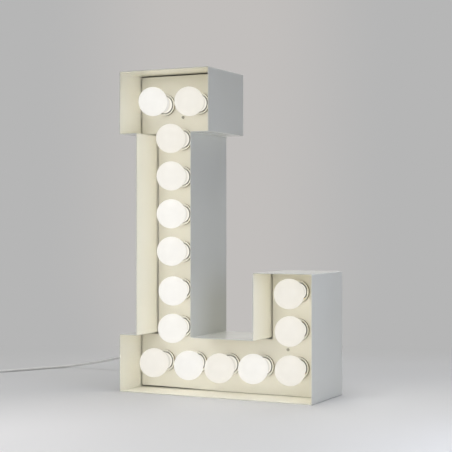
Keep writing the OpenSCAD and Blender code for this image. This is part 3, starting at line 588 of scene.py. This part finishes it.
wall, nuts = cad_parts["return_wall"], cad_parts["holder_rings"]
facing = face_values(wall, "normal")
probe = (face_values(wall, "center") + PROBE * facing)[:, None, [0, 2]]
within = ((probe > OUTLINE[:, :2]) & (probe < OUTLINE[:, 2:])).all(-1).any(-1)
inner = within & (np.abs(facing[:, 1]) < FLAT)
# The wall's inner faces get the lighter, creamier copy, which is painted lamp light.
paint_faces(wall, tray_paint_with_painted_light, inner)
# The ring nuts' sides get the dark brown of painted shade.
paint_faces(nuts, nut_side_shade, np.abs(face_values(nuts, "normal")[:, 1]) < FLAT)
print("inner faces", int(inner.sum()), "of", len(inner))

# %% [markdown]
# In the photograph the gap under the panel is open at the left and almost closed from the middle on.
# The CAD panel is straight, and its mesh is left alone. A copy of it, merged into one mesh and cut
# across a few times, lets its lower edge drop by two millimetres along a smooth step.

# %% Panel
PANEL_DROP, DROP_FROM, DROP_TO = 0.0020, -0.156, 0.010
EDGE_BAND, SAME_SPOT, PANEL_CUTS = 0.001, 1e-6, 12
panel_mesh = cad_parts["lamp_panel"].data.copy()
work = bmesh.new()
work.from_mesh(panel_mesh)
bmesh.ops.remove_doubles(work, verts=work.verts, dist=SAME_SPOT)
for cut in np.linspace(DROP_FROM, DROP_TO, PANEL_CUTS):
    bmesh.ops.bisect_plane(work, geom=work.verts[:] + work.edges[:] + work.faces[:], dist=SAME_SPOT,
                           plane_co=(cut, 0, 0), plane_no=(1, 0, 0))
work.to_mesh(panel_mesh)
work.free()
spots = np.zeros(3 * len(panel_mesh.vertices))
panel_mesh.vertices.foreach_get("co", spots)
spots = spots.reshape(-1, 3)
lowest = spots[:, 2].min()
drop = PANEL_DROP * eased((spots[:, 0] - DROP_FROM) / (DROP_TO - DROP_FROM))
spots[:, 2] -= np.where(spots[:, 2] < lowest + EDGE_BAND, drop, 0)
panel_mesh.vertices.foreach_set("co", spots.ravel())
panel_mesh.polygons.foreach_set("use_smooth", np.zeros(len(panel_mesh.polygons), bool))
panel_mesh.update()
panel = bpy.data.objects.new("panel", panel_mesh)
scene.collection.objects.link(panel)
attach(panel, "letter")
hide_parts("lamp_panel")
print("panel", len(panel_mesh.polygons), "lowest", round(float(lowest), 4))

# %% [markdown]
# The studio is a wide bowl of grey paper: flat under the letter, then curving up all round. A plane
# with a wall behind would show its horizon in some view; the bowl shows none in any.

# %% Studio bowl
CENTRE_R, FLAT_R, ROUND_R, WALL_TOP = 0.001, 4.0, 1.0, 4.5
FLAT_ROWS, ROUND_ROWS, BOWL_SIDES = 60, 12, 96


def bowl():
    """Circle swept round the letter: flat out to 4 m, a quarter round of 1 m radius, then a wall."""
    a = np.linspace(0, math.pi / 2, ROUND_ROWS)
    radius = np.concatenate([np.linspace(CENTRE_R, FLAT_R, FLAT_ROWS),
                             FLAT_R + ROUND_R * np.sin(a), [FLAT_R + ROUND_R]])[:, None]
    height = np.concatenate([np.zeros(FLAT_ROWS), ROUND_R * (1 - np.cos(a)), [WALL_TOP]])[:, None]
    b = np.linspace(0, 2 * np.pi, BOWL_SIDES, endpoint=False)
    k, quads = ring_quads(len(radius), BOWL_SIDES)
    points = np.stack([radius * np.cos(b), radius * np.sin(b), np.repeat(height, BOWL_SIDES, 1)], -1)
    mesh = bpy.data.meshes.new("studio paper")
    mesh.from_pydata(points.reshape(-1, 3).tolist(), [], quads.tolist() + [k[0].tolist()])
    mesh.polygons.foreach_set("use_smooth", np.ones(len(mesh.polygons), bool))
    piece = bpy.data.objects.new("studio_paper", mesh)
    scene.collection.objects.link(piece)
    return piece


studio = bowl()
print("studio bowl", len(studio.data.polygons))

# %% [markdown]
# Only the sheet near the letter is bright, which is why the letter's sides darken with height: the
# higher a face stands, the less of the bright sheet it sees. A white paper everywhere would light all
# sides alike. The sheet's tones are partly painted light: its brightness near the letter is a painted
# pool of light, its darker middle and right in front of the letter a painted shadow, and its grey
# behind the letter a painted fall-off of the light.

# %% Bright sheet
SLANT, TOOTH_MM, TOOTH_HEIGHT_MM = -0.3, 1.5, 0.02
SMOOTH = {"interpolation_type": "SMOOTHSTEP"}


def bright_sheet(tree, place, away, aside, distance):
    """Matt paper: lighter at the left than at the right in front of the letter, which is the letter's
    faint shadow, painted; greyer behind it, which is the light's fall-off, painted; and dark from 1 to
    1.6 m out. Its tooth is drawn coarser than the real one, so that it shows."""
    drift = add(tree, "Math", {0: aside, 1: SLANT}, operation="MULTIPLY")
    slant = add(tree, "Math", {0: away, 1: drift}, operation="ADD")
    # Painted shadow: in front of the letter the tone darkens from the left towards the middle and
    # right.
    right = add(tree, "MapRange", {"Value": aside, "From Min": -0.45, "From Max": 0.1}, **SMOOTH)
    near = add(tree, "Mix", {0: right, 6: linear("#f2f1f1"), 7: linear("#d9d8d5")}, **COLOUR)
    # Painted fall-off of the light: greyer behind the letter.
    behind = add(tree, "MapRange", {"Value": slant, "From Min": -0.34, "From Max": 0.18}, **SMOOTH)
    sheet = add(tree, "Mix", {0: behind, 6: near, 7: linear("#d2d2d2")}, **COLOUR)
    edge = add(tree, "MapRange", {"Value": distance, "From Min": 1.0, "From Max": 1.6}, **SMOOTH)
    tone = add(tree, "Mix", {0: edge, 6: sheet, 7: linear("#606060")}, **COLOUR)
    tooth = add(tree, "TexNoise", {"Vector": place, "Scale": MM / TOOTH_MM, "Detail": 2.0})
    grain = add(tree, "Bump", {"Height": tooth, "Distance": TOOTH_HEIGHT_MM / MM, "Strength": 0.5})
    return add(tree, "BsdfDiffuse", {"Color": tone, "Normal": grain})


print("sheet recipe ready")

# %% [markdown]
# Farther off, the photograph's backdrop is an even grey, a little lighter and warmer in a soft wedge
# behind the letter: the glow round the lit letter, painted here. Lights could draw that, but each would
# change the letter too. A tone that is seen and lights nothing leaves the letter alone.

# %% Plain tone
WEDGE_APEX, WEDGE_SHIFT = 1.5, 0.010


def plain_tone(tree, away, aside):
    """Even grey, and a painted glow, a lighter warm tone, within a wedge that widens behind the letter:
    the distance to the side, divided by the distance from a point 1.5 m in front."""
    reach = add(tree, "Math", {0: away, 1: WEDGE_APEX}, operation="ADD")
    wedge = add(tree, "Math", {0: aside, 1: reach}, operation="DIVIDE")
    moved = add(tree, "Math", {0: wedge, 1: WEDGE_SHIFT}, operation="ADD")
    off = add(tree, "Math", {0: moved}, operation="ABSOLUTE")
    beside = add(tree, "MapRange", {"Value": off, "From Min": 0.028, "From Max": 0.168}, **SMOOTH)
    before = add(tree, "MapRange", {"Value": away, "From Min": 0.4, "From Max": 0.0}, **SMOOTH)
    outside = add(tree, "Math", {0: beside, 1: before}, operation="MAXIMUM")
    # Painted glow: lighter and warmer inside the wedge, plain grey outside it.
    tone = add(tree, "Mix", {0: outside, 6: linear("#c2bfbd"), 7: linear("#b6b6b6")}, **COLOUR)
    return add(tree, "Emission", {"Color": tone})


print("backdrop recipe ready")

# %% [markdown]
# The real backdrop is one roll of matt paper. Two objects with an edge between them would show a seam,
# so one material goes from the sheet to the plain tone. Its directions lie on the floor: AWAY runs
# from the open front to behind the letter, and ASIDE to the right of that.

# %% Studio paper
AWAY, ASIDE, LEVEL = (-0.4476, 0.8942, 0), (0.8942, 0.4476, 0), (1, 1, 0)


def paper():
    """The bright sheet near the letter; from about 0.85 m on, camera, mirror and glass see the plain
    tone."""
    material, tree = new_tree("grey studio paper, matt")
    place = add(tree, "TexCoord", out="Object")
    away = add(tree, "VectorMath", {0: place, 1: AWAY}, "Value", operation="DOT_PRODUCT")
    aside = add(tree, "VectorMath", {0: place, 1: ASIDE}, "Value", operation="DOT_PRODUCT")
    flat = add(tree, "VectorMath", {0: place, 1: LEVEL}, operation="MULTIPLY")
    distance = add(tree, "VectorMath", {0: flat}, "Value", operation="LENGTH")
    back = add(tree, "MapRange", {"Value": away, "From Min": 0.45, "From Max": 0.85}, **SMOOTH)
    around = add(tree, "MapRange", {"Value": distance, "From Min": 0.85, "From Max": 1.15}, **SMOOTH)
    far = add(tree, "Math", {0: back, 1: around}, operation="MAXIMUM")
    camera_ray = add(tree, "LightPath", out="Is Camera Ray")
    mirror_ray = add(tree, "LightPath", out="Is Glossy Ray")
    glass_ray = add(tree, "LightPath", out="Is Transmission Ray")
    mirrored = add(tree, "Math", {0: mirror_ray, 1: glass_ray}, operation="ADD")
    either = add(tree, "Math", {0: camera_ray, 1: mirrored}, operation="ADD")
    seen = add(tree, "Math", {0: either, 1: 1.0}, operation="MINIMUM")
    share = add(tree, "Math", {0: far, 1: seen}, operation="MULTIPLY")
    mixed = add(tree, "MixShader", {0: share, 1: bright_sheet(tree, place, away, aside, distance),
                                    2: plain_tone(tree, away, aside)})
    add(tree, "OutputMaterial", {"Surface": mixed})
    return material


studio.data.materials.append(paper())
print("studio paper", studio.data.materials[0].name)

# %% [markdown]
# Soft lights: one overhead, one above and behind the letter, so that its faint shadow falls towards
# the camera, one in front, which reaches into the trays, and two weak ones on the right. The low one is
# cool and lifts the upstand's side. A last one, which mirrors nowhere, fills the back. A bright world
# would be simpler, but it would light the trays from all round and lose the shadow.

# %% Studio lights
WORLD_LIGHT = 0.05


def soft_light(name, place, aim, size, power, tone="#ffffff"):
    """Square soft light, size metres wide, that faces a point."""
    data = bpy.data.lights.new(name, "AREA")
    data.shape = "SQUARE"
    data.size = size
    data.energy = power
    data.color = linear(tone)[:3]
    light = bpy.data.objects.new(name, data)
    light.location = place
    light.rotation_mode = "QUATERNION"
    light.rotation_quaternion = (Vector(aim) - Vector(place)).to_track_quat("-Z", "Y")
    light.visible_camera = False
    scene.collection.objects.link(light)
    return light


soft_light("overhead", (0.1, -0.6, 4.0), (0.0, -0.1, 0.0), size=2.8, power=82)
soft_light("back", (-0.15, 1.3, 3.4), (0.0, 0.0, 0.0), size=2.1, power=30)
soft_light("front", (-0.3, -2.6, 1.0), (0.0, 0.0, 0.25), size=1.6, power=18)
soft_light("right", (1.6, 0.0, 1.6), (0.1, 0.0, 0.1), size=1.0, power=1.5)
soft_light("low right", (0.85, -0.40, 0.36), (0.15, 0.0, 0.12), size=0.5, power=2.4, tone="#dfe7ff")
rear = soft_light("rear", (-1.1, 2.6, 0.9), (0.0, 0.0, 0.25), size=1.4, power=9)
rear.visible_glossy = False
world = bpy.data.worlds.new("studio")
scene.world = world
world.use_nodes = True
world.node_tree.nodes["Background"].inputs["Color"].default_value = linear("#ffffff")
world.node_tree.nodes["Background"].inputs["Strength"].default_value = WORLD_LIGHT

# %% [markdown]
# Each globe holds a small round light of its own, which stands for the filament and the glass round
# it. The glowing glass could light the tray too, but a point light gives a far cleaner picture. The
# two lamps of the cap light their small tray a little more.

# %% Lamp light
LAMP_W, CAP_LAMPS, CAP_SHARE, GLASS_WALL = 0.0106, 2, 1.2, 0.0005


def globe_light(name, place, power):
    """Round light just smaller than a globe, in the globe's middle. The glass casts no shadow, so the
    light shines out of it."""
    data = bpy.data.lights.new(name, "POINT")
    data.shadow_soft_size = GLOBE_R - GLASS_WALL
    data.energy = power
    data.color = linear("#fdf9ef")[:3]
    data.cycles.use_multiple_importance_sampling = False
    light = bpy.data.objects.new(name, data)
    light.location = place
    scene.collection.objects.link(light)


for number, ((x, z), (dx, dz), power) in enumerate(zip(LAMPS, LEAN_MM, POWER), 1):
    share = CAP_SHARE if number <= CAP_LAMPS else 1.0
    globe_light(f"lamp_{number:02d}", (x + dx / MM, PANEL_Y - GLOBE_OUT, z + dz / MM),
                LAMP_W * power * share)
